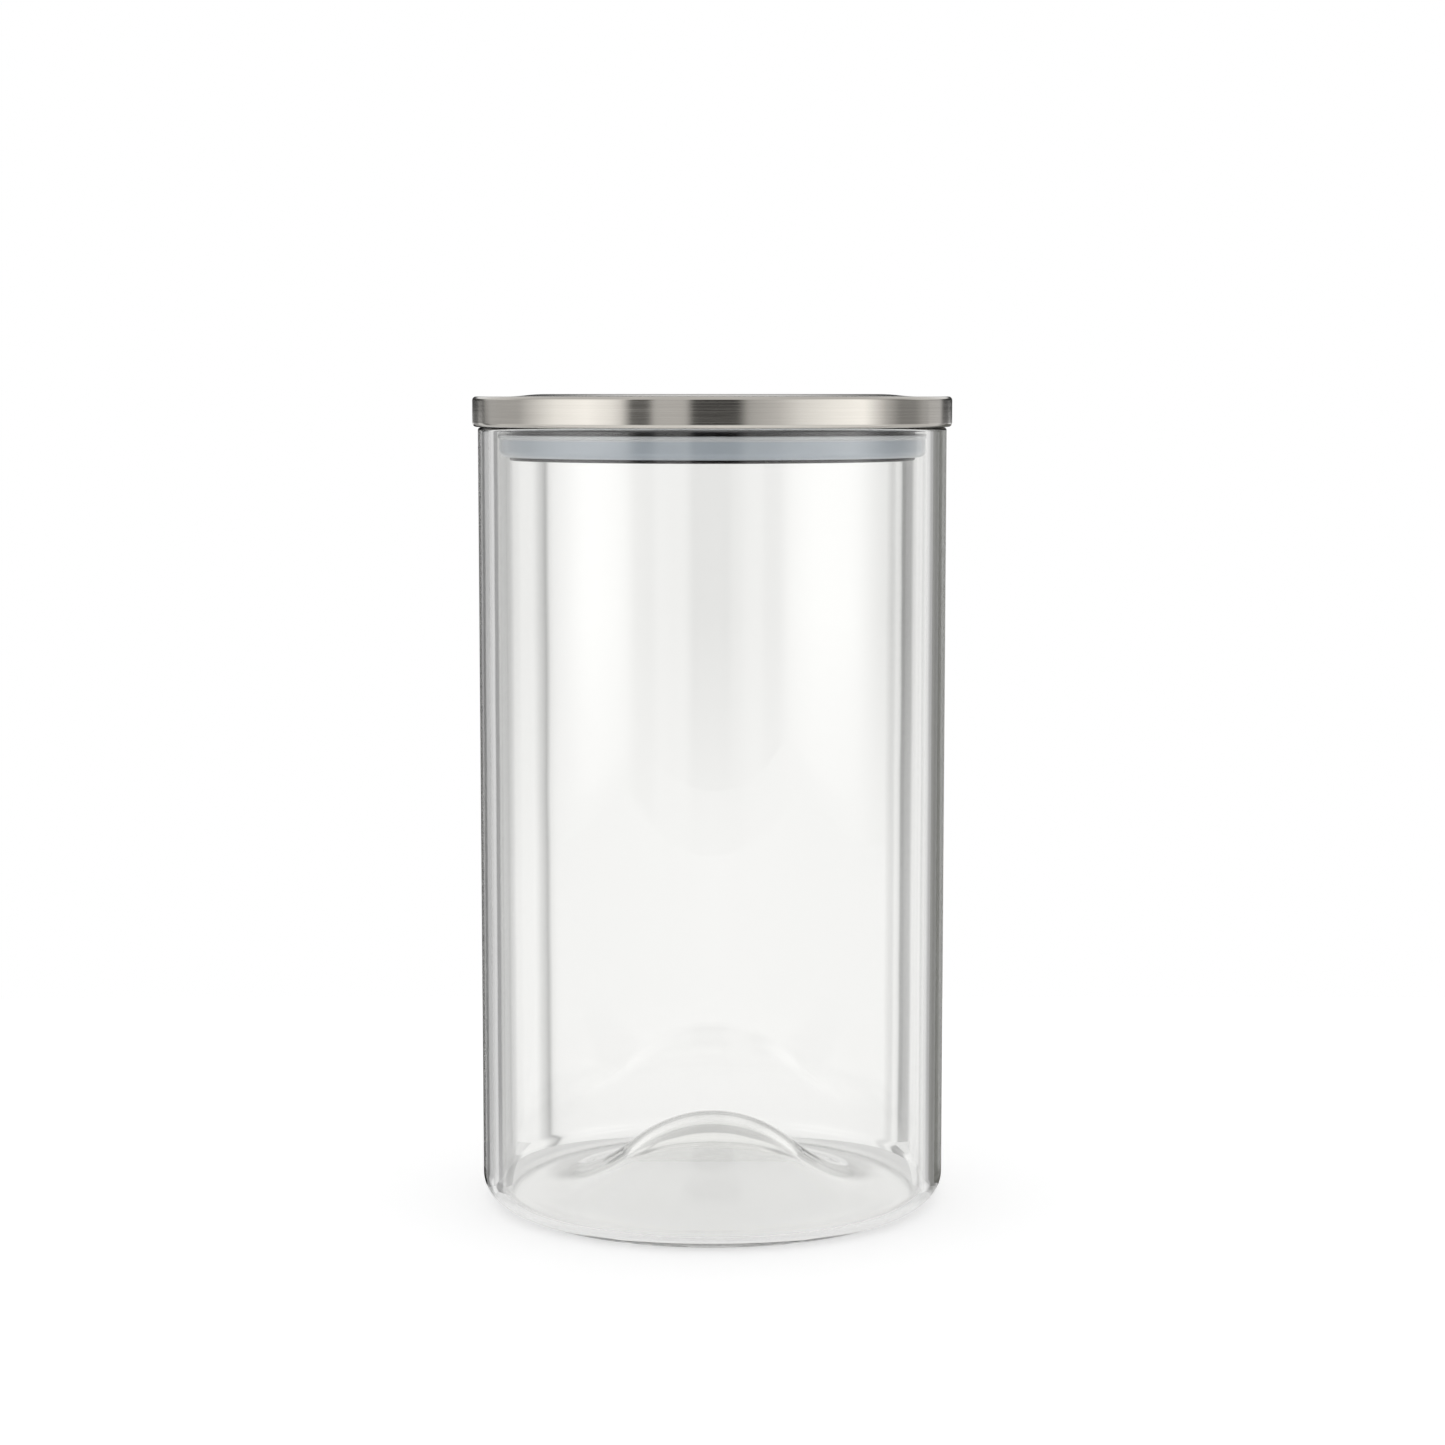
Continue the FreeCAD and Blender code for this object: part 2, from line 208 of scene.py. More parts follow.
room = add_node(sky, "ShaderNodeMix", {"Factor": on_backdrop, "A": room, "B": strips}, data_type="RGBA").outputs[2]
print("backdrop", 2 * round(math.degrees(BACK_SIDE)), "degrees wide")

# %% [markdown]
# Broad, even surfaces close the room: a white wall high behind the canister, which the lid's top mirrors in views from
# above, a pale ground for rays that go steeply down, and the overhead light. The eye itself sees plain white.

# %% Wall, ground, overhead light and white background
WALL_WHITE, GROUND, OVERHEAD = "#F7F7F7", "#E2E2E2", "#E6E6E6"
WALL_FOOT = {"From Min": 0.14, "From Max": 0.20}
WALL_SIDES = {"From Min": math.radians(75), "From Max": math.radians(60)}
GROUND_EDGE = {"From Min": -0.22, "From Max": -0.32}
OVERHEAD_EDGE = {"From Min": 0.30, "From Max": 0.55}
above = add_node(sky, "ShaderNodeMapRange", {"Value": rise, **WALL_FOOT}).outputs["Result"]
within = add_node(sky, "ShaderNodeMapRange", {"Value": off_back, **WALL_SIDES}).outputs["Result"]
on_wall = add_node(sky, "ShaderNodeMath", {0: above, 1: within}, operation="MULTIPLY").outputs[0]
on_ground = add_node(sky, "ShaderNodeMapRange", {"Value": rise, **GROUND_EDGE}).outputs["Result"]
on_light = add_node(sky, "ShaderNodeMapRange", {"Value": rise, **OVERHEAD_EDGE}).outputs["Result"]
layers = ((on_wall, WALL_WHITE), (on_ground, GROUND), (on_light, OVERHEAD), (ray["Is Camera Ray"], WHITE))
for share, colour in layers:
    layer = add_node(sky, "ShaderNodeMix", {"Factor": share, "A": room, "B": linear(colour)}, data_type="RGBA")
    room = layer.outputs[2]
background = add_node(sky, "ShaderNodeBackground", {"Color": room, "Strength": 1.0})
add_node(sky, "ShaderNodeOutputWorld", {"Surface": background.outputs[0]})
print("studio of", len(sky.nodes), "nodes")

# %% [markdown]
# Light that gets into the foot's glass is thrown back and forth many times before it leaves again. Blender stops a path
# after a few turns and calls it black, so the limits are raised.

# %% Light paths long enough for glass
LIGHT_TURNS = 32
for limit in ("max_bounces", "glossy_bounces", "transmission_bounces"):
    setattr(bpy.context.scene.cycles, limit, LIGHT_TURNS)
print("light may turn", LIGHT_TURNS, "times")

# %% [markdown]
# ## The floor
#
# The canister stands on a pale sheet. A wide plane could be lit by the studio alone, but a sheet lit only from above
# turns grey where the lid shades it, so this one also glows a little, as an opal table lit from below does. Its colour
# stays below white, so the soft shadow round the foot still shows.

# %% A pale opal sheet
FLOOR_SIDE, FLOOR_FRONT, FLOOR_BACK, FLOOR_GAP = 0.60, -0.60, 0.22, 0.05 * MM
ends = [(-FLOOR_SIDE, FLOOR_FRONT), (FLOOR_SIDE, FLOOR_FRONT), (FLOOR_SIDE, FLOOR_BACK), (-FLOOR_SIDE, FLOOR_BACK)]
sheet = bpy.data.meshes.new("floor")
sheet.from_pydata([(x, y, -FLOOR_GAP) for x, y in ends], [], [(0, 1, 2, 3)])
floor = bpy.data.objects.new("floor", sheet)
bpy.context.scene.collection.objects.link(floor)
print("floor", 2 * FLOOR_SIDE, "m wide")

# %% [markdown]
# The eye and the steel see one even glow. Light through the glass sees it in three parts: it is strongest under the
# jar and in front of its foot, lower beside and behind the jar, and in between far away. The lower glow beside and
# behind the jar is a painted soft shadow of the jar. One level for all would make the foot too dark or the wall's lower
# end too pale.

# %% The sheet's glow
GLOW, GLOW_UNDER, GLOW_IN_PAINTED_SHADOW, GLOW_FAR = 0.55, 0.60, 0.28, 0.45
JAR_EDGE = {"From Min": 46 * MM, "From Max": 52 * MM}
FAR_OFF = {"From Min": 80 * MM, "From Max": 160 * MM}
JAR_FRONT = {"From Min": -50 * MM, "From Max": -42 * MM}
opal = bpy.data.materials.new("opal_acrylic_sheet")
opal.use_nodes = True
tree = opal.node_tree
tree.nodes.clear()
ray = add_node(tree, "ShaderNodeLightPath").outputs
through, mirrored = ray["Is Transmission Ray"], ray["Is Glossy Ray"]
spot = add_node(tree, "ShaderNodeTexCoord").outputs["Object"]
across, back, _ = add_node(tree, "ShaderNodeSeparateXYZ", {"Vector": spot}).outputs
reach = add_node(tree, "ShaderNodeVectorMath", {0: spot}, operation="LENGTH").outputs["Value"]
outside = add_node(tree, "ShaderNodeMapRange", {"Value": reach, **JAR_EDGE}).outputs["Result"]
far = add_node(tree, "ShaderNodeMapRange", {"Value": reach, **FAR_OFF}).outputs["Result"]
not_front = add_node(tree, "ShaderNodeMapRange", {"Value": back, **JAR_FRONT}).outputs["Result"]
shaded = add_node(tree, "ShaderNodeMath", {0: not_front, 1: far}, operation="MAXIMUM").outputs[0]
shaded = add_node(tree, "ShaderNodeMath", {0: outside, 1: shaded}, operation="MULTIPLY").outputs[0]
# painted shadow: through the glass, the sheet's glow dips in a ring beside and behind the jar
painted_shadow_glow = add_node(tree, "ShaderNodeMix", {"Factor": far, "A": GLOW_IN_PAINTED_SHADOW, "B": GLOW_FAR}).outputs[0]
in_glass = add_node(tree, "ShaderNodeMix", {"Factor": shaded, "A": GLOW_UNDER, "B": painted_shadow_glow}).outputs[0]
to_eye = add_node(tree, "ShaderNodeMath", {0: ray["Is Camera Ray"], 1: mirrored}, operation="MAXIMUM").outputs[0]
to_eye = add_node(tree, "ShaderNodeMath", {0: to_eye, 1: GLOW}, operation="MULTIPLY").outputs[0]
glow_level = add_node(tree, "ShaderNodeMix", {"Factor": through, "A": to_eye, "B": in_glass}).outputs[0]
print("glow", GLOW, "to the eye,", GLOW_UNDER, "under the jar")

# %% [markdown]
# For light that the glass or the steel has bent or mirrored, the sheet ends just behind the jar: that far edge draws a
# faint level line over the foot. It ends beside the jar's back half too, along a slanted edge, so that the upright
# lines in the glass run down to the heel. A smaller sheet would do the same, but then the eye would see it end.

# %% Where the sheet ends in the glass
FAR_EDGE, SIDE_EDGE, SIDE_SLANT = 47 * MM, 45.7 * MM, 0.27
aside = add_node(tree, "ShaderNodeMath", {0: across}, operation="ABSOLUTE").outputs[0]
slant = add_node(tree, "ShaderNodeMath", {0: back, 1: -SIDE_SLANT, 2: aside}, operation="MULTIPLY_ADD").outputs[0]
wide = add_node(tree, "ShaderNodeMath", {0: slant, 1: SIDE_EDGE}, operation="GREATER_THAN").outputs[0]
back_half = add_node(tree, "ShaderNodeMath", {0: back, 1: 0.0}, operation="GREATER_THAN").outputs[0]
beside = add_node(tree, "ShaderNodeMath", {0: wide, 1: back_half}, operation="MULTIPLY").outputs[0]
beyond = add_node(tree, "ShaderNodeMath", {0: back, 1: FAR_EDGE}, operation="GREATER_THAN").outputs[0]
off_sheet = add_node(tree, "ShaderNodeMath", {0: beside, 1: beyond}, operation="MAXIMUM").outputs[0]
indirect = add_node(tree, "ShaderNodeMath", {0: through, 1: mirrored}, operation="MAXIMUM").outputs[0]
gone = add_node(tree, "ShaderNodeMath", {0: off_sheet, 1: indirect}, operation="MULTIPLY").outputs[0]
matt = add_node(tree, "ShaderNodeBsdfDiffuse", {"Color": linear("#D6D6D6")})
glow = add_node(tree, "ShaderNodeEmission", {"Color": linear(WHITE), "Strength": glow_level})
lit = add_node(tree, "ShaderNodeAddShader", {0: matt.outputs[0], 1: glow.outputs[0]})
open_air = add_node(tree, "ShaderNodeBsdfTransparent")
opal_or_air = add_node(tree, "ShaderNodeMixShader", {0: gone, 1: lit.outputs[0], 2: open_air.outputs[0]})
add_node(tree, "ShaderNodeOutputMaterial", {"Surface": opal_or_air.outputs[0]})
sheet.materials.append(opal)
print("in the glass the sheet ends", round(FAR_EDGE / MM), "mm behind the axis")

# %% [markdown]
# Clear glass on white all but vanishes, so photographers stand narrow dark cards close beside it, and the wall's outer
# millimetres show them as dark edges. One card here is near black and the other grey, because the jar's left edge is
# the darker one. The eye doesn't see them, and they cast no shadow. A ray right through the jar has crossed four faces
# of glass and passes them, so they don't stand in the glass in views from the side.

# %% Dark cards beside the jar
CARD_PLANE, CARD_TOP = 4.0, 167.0
WALL_FACES = 2.5  # faces are counted whole, and the wall alone has two to cross
CARDS = (("left_card", -50.2, -54.5, "#1E1E1D"), ("right_card", 50.2, 60.0, "#6E6E6A"))
for name, near, far, grey in CARDS:
    paper = bpy.data.materials.new(name + "_paper")
    paper.use_nodes = True
    tree = paper.node_tree
    tree.nodes.clear()
    crossed = add_node(tree, "ShaderNodeLightPath").outputs["Transmission Depth"]
    beyond = add_node(tree, "ShaderNodeMath", {0: crossed, 1: WALL_FACES}, operation="GREATER_THAN").outputs[0]
    shown = add_node(tree, "ShaderNodeEmission", {"Color": linear(grey), "Strength": 1.0})
    hidden = add_node(tree, "ShaderNodeBsdfTransparent")
    both = add_node(tree, "ShaderNodeMixShader", {0: beyond, 1: shown.outputs[0], 2: hidden.outputs[0]})
    add_node(tree, "ShaderNodeOutputMaterial", {"Surface": both.outputs[0]})
    strip = bpy.data.meshes.new(name)
    ends = [(near, 0.0), (far, 0.0), (far, CARD_TOP), (near, CARD_TOP)]
    strip.from_pydata([(x * MM, CARD_PLANE * MM, z * MM) for x, z in ends], [], [(0, 1, 2, 3)])
    strip.materials.append(paper)
    card = bpy.data.objects.new(name, strip)
    bpy.context.scene.collection.objects.link(card)
    card.visible_camera = card.visible_diffuse = card.visible_shadow = False
    print(name, round(abs(far - near), 1), "mm wide")

# %% [markdown]
# ## A lathe made of nodes
#
# All pieces of the canister but the plug are round throughout, so one rule makes them: take the section on one side of
# the axis and turn it once round. The Screw modifier could do it, but a node tree shows the rule step by step and can
# also let the glass wander a little, as blown glass does. A grid gets one row of points for each point of the section
# and one column for each step round the axis. Each grid point then looks up its section point and turns it to its
# step's angle, and the points that meet at the seam and on the axis are merged.

# %% The lathe tree
RIPPLE_WIDTH, MERGE_GAP = 24 * MM, 0.002 * MM
RIPPLE_SPAN = {"From Min": 0.25, "From Max": 0.75, "To Min": -1.0, "To Max": 1.0}


def lathe_tree():
    """A tree that turns an outline round the Z axis."""
    tree = bpy.data.node_groups.new("turned_on_a_lathe", "GeometryNodeTree")
    face = tree.interface
    face.new_socket("Section", in_out="INPUT", socket_type="NodeSocketGeometry")
    face.new_socket("Points", in_out="INPUT", socket_type="NodeSocketInt")
    face.new_socket("Steps", in_out="INPUT", socket_type="NodeSocketInt")
    face.new_socket("Wander", in_out="INPUT", socket_type="NodeSocketFloat")
    face.new_socket("Material", in_out="INPUT", socket_type="NodeSocketMaterial")
    face.new_socket("Piece", in_out="OUTPUT", socket_type="NodeSocketGeometry")
    given = add_node(tree, "NodeGroupInput").outputs
    columns = add_node(tree, "ShaderNodeMath", {0: given["Steps"], 1: 1.0}, operation="ADD").outputs[0]
    grid = add_node(tree, "GeometryNodeMeshGrid", {"Vertices X": given["Points"], "Vertices Y": columns})
    number = add_node(tree, "GeometryNodeInputIndex").outputs[0]
    share = add_node(tree, "ShaderNodeMath", {0: number, 1: columns}, operation="DIVIDE")
    row = add_node(tree, "ShaderNodeMath", {0: share.outputs[0]}, operation="FLOOR").outputs[0]
    column = add_node(tree, "ShaderNodeMath", {0: number, 1: columns}, operation="MODULO").outputs[0]
    turn = add_node(tree, "ShaderNodeMath", {0: column, 1: given["Steps"]}, operation="DIVIDE").outputs[0]
    angle = add_node(tree, "ShaderNodeMath", {0: turn, 1: math.tau}, operation="MULTIPLY").outputs[0]
    place = add_node(tree, "GeometryNodeInputPosition").outputs[0]
    corner = add_node(tree, "GeometryNodeSampleIndex", {
        "Geometry": given["Section"], "Value": place, "Index": row}, data_type="FLOAT_VECTOR")
    turned = add_node(tree, "ShaderNodeVectorRotate", {
        "Vector": corner.outputs[0], "Angle": angle}, rotation_type="Z_AXIS").outputs[0]
    loose = add_node(tree, "GeometryNodeInputNamedAttribute", {"Name": "loose"}, data_type="FLOAT")
    freedom = add_node(tree, "GeometryNodeSampleIndex", {
        "Geometry": given["Section"], "Value": loose.outputs[0], "Index": row}, data_type="FLOAT").outputs[0]
    ripple = add_node(tree, "ShaderNodeTexNoise", {
        "Vector": turned, "Scale": 1 / RIPPLE_WIDTH, "Detail": 1.0}, noise_dimensions="3D")
    swing = add_node(tree, "ShaderNodeMapRange", {"Value": ripple.outputs[0], **RIPPLE_SPAN}).outputs[0]
    amount = add_node(tree, "ShaderNodeMath", {0: swing, 1: given["Wander"]}, operation="MULTIPLY").outputs[0]
    amount = add_node(tree, "ShaderNodeMath", {0: amount, 1: freedom}, operation="MULTIPLY").outputs[0]
    flat = add_node(tree, "ShaderNodeVectorMath", {0: turned, 1: (1.0, 1.0, 0.0)}, operation="MULTIPLY").outputs[0]
    outwards = add_node(tree, "ShaderNodeVectorMath", {0: flat}, operation="NORMALIZE").outputs[0]
    offset = add_node(tree, "ShaderNodeVectorMath", {0: outwards, "Scale": amount}, operation="SCALE").outputs[0]
    placed = add_node(tree, "GeometryNodeSetPosition", {
        "Geometry": grid.outputs[0], "Position": turned, "Offset": offset})
    merged = add_node(tree, "GeometryNodeMergeByDistance", {"Geometry": placed.outputs[0], "Distance": MERGE_GAP})
    smooth = add_node(tree, "GeometryNodeSetShadeSmooth", {"Geometry": merged.outputs[0]})
    real = add_node(tree, "GeometryNodeRealizeInstances", {"Geometry": smooth.outputs[0]})
    dressed = add_node(tree, "GeometryNodeSetMaterial", {"Geometry": real.outputs[0], "Material": given["Material"]})
    add_node(tree, "NodeGroupOutput", {"Piece": dressed.outputs[0]})
    return tree


LATHE = lathe_tree()
LATHE_INPUTS = {item.name: item.identifier for item in LATHE.interface.items_tree if item.in_out == "INPUT"}
print("lathe tree with", len(LATHE.nodes), "nodes")

# %% [markdown]
# A section is a list of corners in millimetres, each a radius and a height. Rounded corners are arcs of many short
# steps. A long straight run gets a point close to each end and more between them, because smooth shading blends the
# tilt of neighbouring faces, and without those points a long face would look bent near its rounded ends.

# %% Outlines for the lathe
def arc(radius, level, bend, start, end, steps=12):
    """Points on an arc about a centre. Angles are in degrees, 0 points away from the axis and 90 up."""
    angles = [math.radians(start + (end - start) * step / steps) for step in range(steps + 1)]
    return [(radius + bend * math.cos(angle), level + bend * math.sin(angle)) for angle in angles]


def soft_step(start, end, share=0.5, steps=24):
    """Points from one corner to another along two arcs, level at the corners, that meet at a share of the way."""
    run, rise = end[0] - start[0], end[1] - start[1]
    sides = []
    for (r, z), part in ((start, share), (end, share - 1)):
        bend = part * (run**2 + rise**2) / (2 * rise)
        offsets = [part * run * step / steps for step in range(steps + 1)]
        climbs = [bend - math.copysign(math.sqrt(bend**2 - offset**2), bend) for offset in offsets]
        sides.append([(r + offset, z + climb) for offset, climb in zip(offsets, climbs)])
    return sides[0] + sides[1][-2::-1]


def with_guards(outline, guard=0.12, spacing=3.0):
    """Adds points near both ends of each long run, and between them."""
    filled = []
    for (r, z), (next_r, next_z) in zip(outline, outline[1:] + outline[:1]):
        filled.append((r, z))
        length = math.dist((r, z), (next_r, next_z))
        if length < 10 * guard:
            continue
        pieces = max(1, math.ceil((length - 2 * guard) / spacing))
        marks = [guard + (length - 2 * guard) * piece / pieces for piece in range(pieces + 1)]
        filled += [(r + (next_r - r) * mark / length, z + (next_z - z) * mark / length) for mark in marks]
    return filled


print("a run of 30 mm gets", len(with_guards([(0.0, 0.0), (30.0, 0.0)])) // 2, "points")

# %% [markdown]
# Turning a piece takes five steps. The outline becomes a mesh of bare points, the lathe turns it, the result is kept as
# a plain mesh, the points go, and the faces are made to point outwards. The steps round the axis are fine enough that
# the glass shows no facets where light grazes its rim.

# %% Turning a piece
STEPS = 288


def turn_piece(name, outline, material, wander=0.0, loose=lambda r, z: 0.0):
    """Turns a closed outline, in millimetres, into a finished piece."""
    points = with_guards(outline)
    if outline[0][0] > 0:
        points.append(points[0])
    else:
        points = points[: points.index(outline[-1]) + 1]
    section = bpy.data.meshes.new(name + "_section")
    section.from_pydata([(r * MM, 0.0, z * MM) for r, z in points], [], [])
    freedom = section.attributes.new("loose", "FLOAT", "POINT")
    freedom.data.foreach_set("value", [loose(r, z) for r, z in points])
    blank = bpy.data.objects.new(name + "_blank", section)
    bpy.context.scene.collection.objects.link(blank)
    lathe = blank.modifiers.new("lathe", "NODES")
    lathe.node_group = LATHE
    values = {"Points": len(points), "Steps": STEPS, "Wander": wander * MM, "Material": material}
    for key, value in values.items():
        lathe[LATHE_INPUTS[key]] = value
    mesh = bpy.data.meshes.new_from_object(blank.evaluated_get(bpy.context.evaluated_depsgraph_get()))
    bpy.data.objects.remove(blank)
    shell = bmesh.new()
    shell.from_mesh(mesh)
    bmesh.ops.recalc_face_normals(shell, faces=shell.faces)
    shell.to_mesh(mesh)
    shell.free()
    mesh.name = name
    piece = bpy.data.objects.new(name, mesh)
    bpy.context.scene.collection.objects.link(piece)
    print(name, "has", len(mesh.polygons), "faces")
    return piece


print("one step is", 360 / STEPS, "degrees")

# %% [markdown]
# ## Clear glass
#
# The jar is soda-lime glass, blown into a mould and then fire-polished, so its faces are as smooth as a liquid's. What
# the eye gets is bent light: the wall's thick edges gather the dark and light panels into upright lines. A Glass shader
# would do, and the Principled one is used because the export knows it. The index of 1.52 is that of window glass. A
# trace of iron makes long paths through it a little green, which is absorption in the volume and not a colour on the
# surface. Very faint, wide swells stand for the mould's uneven cooling.

# %% The glass
SWELL_WIDTH, SWELL_DEPTH = 30 * MM, 0.2 * MM
glass = bpy.data.materials.new("soda_lime_glass_fire_polished")
glass.use_nodes = True
tree = glass.node_tree
tree.nodes.clear()
spot = add_node(tree, "ShaderNodeTexCoord").outputs["Object"]
swell = add_node(tree, "ShaderNodeTexNoise", {"Vector": spot, "Scale": 1 / SWELL_WIDTH, "Detail": 1.0})
uneven = add_node(tree, "ShaderNodeBump", {"Strength": 0.06, "Distance": SWELL_DEPTH, "Height": swell.outputs[0]})
clear = add_node(tree, "ShaderNodeBsdfPrincipled", {
    "Base Color": linear("#FDFDFC"), "Roughness": 0.0, "IOR": 1.52, "Transmission Weight": 1.0,
    "Normal": uneven.outputs[0]})
tint = add_node(tree, "ShaderNodeVolumeAbsorption", {"Color": linear("#E4E6DC"), "Density": 1.5})
add_node(tree, "ShaderNodeOutputMaterial", {"Surface": clear.outputs[0], "Volume": tint.outputs[0]})
print("glass index", clear.inputs["IOR"].default_value)

# %% [markdown]
# ## The jar
#
# The jar has a straight wall and a thinner floor, pushed up in the middle to a soft bell, so that it stands on a ring.
# From the front the bell draws a hump over the foot. A cylinder with a Solidify modifier would have one thickness
# everywhere. The lathe gets the whole section instead, outer and inner face in one closed line, because the light bends
# at both faces. The bore ripples by a few thousandths of a millimetre, as blown glass does.

# %% The jar's section
JAR_R, WALL, HEEL, RIM_ROUND = 50.0, 4.0, 6.0, 0.8
FLOOR_THICKNESS, FLOOR_CORNER, FOOT_WIDTH, PUSH_UP, CROWN_R = 2.4, 3.0, 4.0, 15.6, 18.0
SEAL_ZONE, BORE_RIPPLE, CLOSE, HEEL_STEPS = 12.0, 0.006, 0.01, 20
BORE_R = JAR_R - WALL
FOOT_R = JAR_R - HEEL - FOOT_WIDTH
FLOOR_R = FOOT_R + FLOOR_THICKNESS / 2
CROWN = CROWN_R / FOOT_R
outline = soft_step((0.0, PUSH_UP), (FOOT_R, 0.0), CROWN)
outline += arc(JAR_R - HEEL, HEEL, HEEL, -90, 0, HEEL_STEPS)
outline += arc(JAR_R - RIM_ROUND, RIM - RIM_ROUND, RIM_ROUND, 0, 90)
outline += arc(BORE_R + RIM_ROUND, RIM - RIM_ROUND, RIM_ROUND, 90, 180)
outline += arc(BORE_R - FLOOR_CORNER, FLOOR_THICKNESS + FLOOR_CORNER, FLOOR_CORNER, 0, -90, HEEL_STEPS)
outline += soft_step((FLOOR_R, FLOOR_THICKNESS), (0.0, PUSH_UP + FLOOR_THICKNESS), 1 - CROWN)


def in_bore(r, z):
    """Whether a point lies on the jar's bore, clear of the floor and of the seal."""
    return float(abs(r - BORE_R) < CLOSE and PUSH_UP < z < RIM - SEAL_ZONE)


jar = turn_piece("jar_wall_and_floor", outline, glass, BORE_RIPPLE, in_bore)
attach(jar, "jar")
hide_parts("glass_jar")

# %% [markdown]
# ## Brushed stainless steel
#
# The cap is drawn from stainless sheet and brushed while it turns, so fine lines run round it. Reflections smear across
# the lines and stay sharper along them, which is anisotropy. Each line could be cut into the mesh, but that would take
# millions of faces, so a pattern draws them: noise that reads the radius and the height on a fine scale and the rest
# on a coarse one, which stretches it along the turn. Real lines are about a tenth of a millimetre apart, and here they
# are three times as coarse so that they show.

# %% The steel
LINE_PITCH, LINE_LENGTH, LINE_DEPTH = 0.3 * MM, 30 * MM, 0.02 * MM
NOISE_SPAN = {"From Min": 0.3, "From Max": 0.7}
steel = bpy.data.materials.new("stainless_steel_brushed")
steel.use_nodes = True
tree = steel.node_tree
tree.nodes.clear()
spot = add_node(tree, "ShaderNodeTexCoord").outputs["Object"]
parts = add_node(tree, "ShaderNodeSeparateXYZ", {"Vector": spot})
flat = add_node(tree, "ShaderNodeVectorMath", {0: spot, 1: (1.0, 1.0, 0.0)}, operation="MULTIPLY").outputs[0]
reach = add_node(tree, "ShaderNodeVectorMath", {0: flat}, operation="LENGTH").outputs["Value"]
across = add_node(tree, "ShaderNodeMath", {0: reach, 1: parts.outputs["Z"]}, operation="ADD").outputs[0]
along_x = add_node(tree, "ShaderNodeMath", {0: parts.outputs["X"], 1: LINE_LENGTH}, operation="DIVIDE").outputs[0]
along_y = add_node(tree, "ShaderNodeMath", {0: parts.outputs["Y"], 1: LINE_LENGTH}, operation="DIVIDE").outputs[0]
across = add_node(tree, "ShaderNodeMath", {0: across, 1: LINE_PITCH}, operation="DIVIDE").outputs[0]
lines_at = add_node(tree, "ShaderNodeCombineXYZ", {"X": along_x, "Y": along_y, "Z": across}).outputs[0]
lines = add_node(tree, "ShaderNodeTexNoise", {"Vector": lines_at, "Scale": 1.0, "Detail": 3.0, "Roughness": 0.6})
shade = add_node(tree, "ShaderNodeMix", {
    "Factor": lines.outputs[0], "A": linear("#BBB7B0"), "B": linear("#CBC7C0")}, data_type="RGBA")
dull = add_node(tree, "ShaderNodeMapRange", {
    "Value": lines.outputs[0], **NOISE_SPAN, "To Min": 0.11, "To Max": 0.17})
scored = add_node(tree, "ShaderNodeBump", {"Strength": 0.08, "Distance": LINE_DEPTH, "Height": lines.outputs[0]})
round_axis = add_node(tree, "ShaderNodeTangent", direction_type="RADIAL", axis="Z")
sheet_metal = add_node(tree, "ShaderNodeBsdfPrincipled", {
    "Base Color": shade.outputs[2], "Metallic": 1.0, "Roughness": dull.outputs["Result"],
    "Anisotropic": 0.7, "Anisotropic Rotation": 0.25, "Tangent": round_axis.outputs[0], "Normal": scored.outputs[0]})
add_node(tree, "ShaderNodeOutputMaterial", {"Surface": sheet_metal.outputs[0]})
print("steel lines", LINE_PITCH / MM, "mm apart")

# %% [markdown]
# ## The cap
#
# One sheet of steel, half a millimetre thick, drawn into a shallow pan: a raised middle panel with a soft slope round
# it, a rounded top bend, a straight skirt and a lower edge turned in between the plug and the jar's rim. A single
# sheet could be thickened afterwards, but tight bends pinch when that is done, so both faces are in the section.

# %% The cap's section
CAP_R, CAP_HEIGHT, SHEET, TOP_BEND, HEM_BEND, HEM_WIDTH = 51.15, 6.4, 0.5, 0.8, 0.8, 4.7
PANEL_MARGIN, PANEL_SLOPE, PANEL_RISE = 7.0, 8.5, 0.5
SHOULDER_R = CAP_R - PANEL_MARGIN
PANEL_R = SHOULDER_R - PANEL_SLOPE
top, ceiling = RIM + CAP_HEIGHT, RIM + CAP_HEIGHT - SHEET
outline = [(0.0, top + PANEL_RISE)] + soft_step((PANEL_R, top + PANEL_RISE), (SHOULDER_R, top))
outline += arc(CAP_R - TOP_BEND, top - TOP_BEND, TOP_BEND, 90, 0)
outline += arc(CAP_R - HEM_BEND, RIM + HEM_BEND, HEM_BEND, 0, -90)
outline += [(CAP_R - HEM_WIDTH, RIM), (CAP_R - HEM_WIDTH, RIM + SHEET)]
outline += arc(CAP_R - HEM_BEND, RIM + HEM_BEND, HEM_BEND - SHEET, -90, 0)
outline += arc(CAP_R - TOP_BEND, top - TOP_BEND, TOP_BEND - SHEET, 0, 90)
outline += soft_step((SHOULDER_R, ceiling), (PANEL_R, ceiling + PANEL_RISE)) + [(0.0, ceiling + PANEL_RISE)]
cap = turn_piece("steel_cap", outline, steel)
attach(cap, "lid")
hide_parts("lid_cap")

# %% [markdown]
# ## The moulded plug
#
# The plug is dark polypropylene. It could be turned on the lathe, but its eight ribs are not round, and its solid in
# the frame already has the groove, the flange and the ribs. So that object stays and only gets its finish: a satin
# surface with the fine grain of a spark-eroded mould, drawn a little coarser than it is so that it shows.

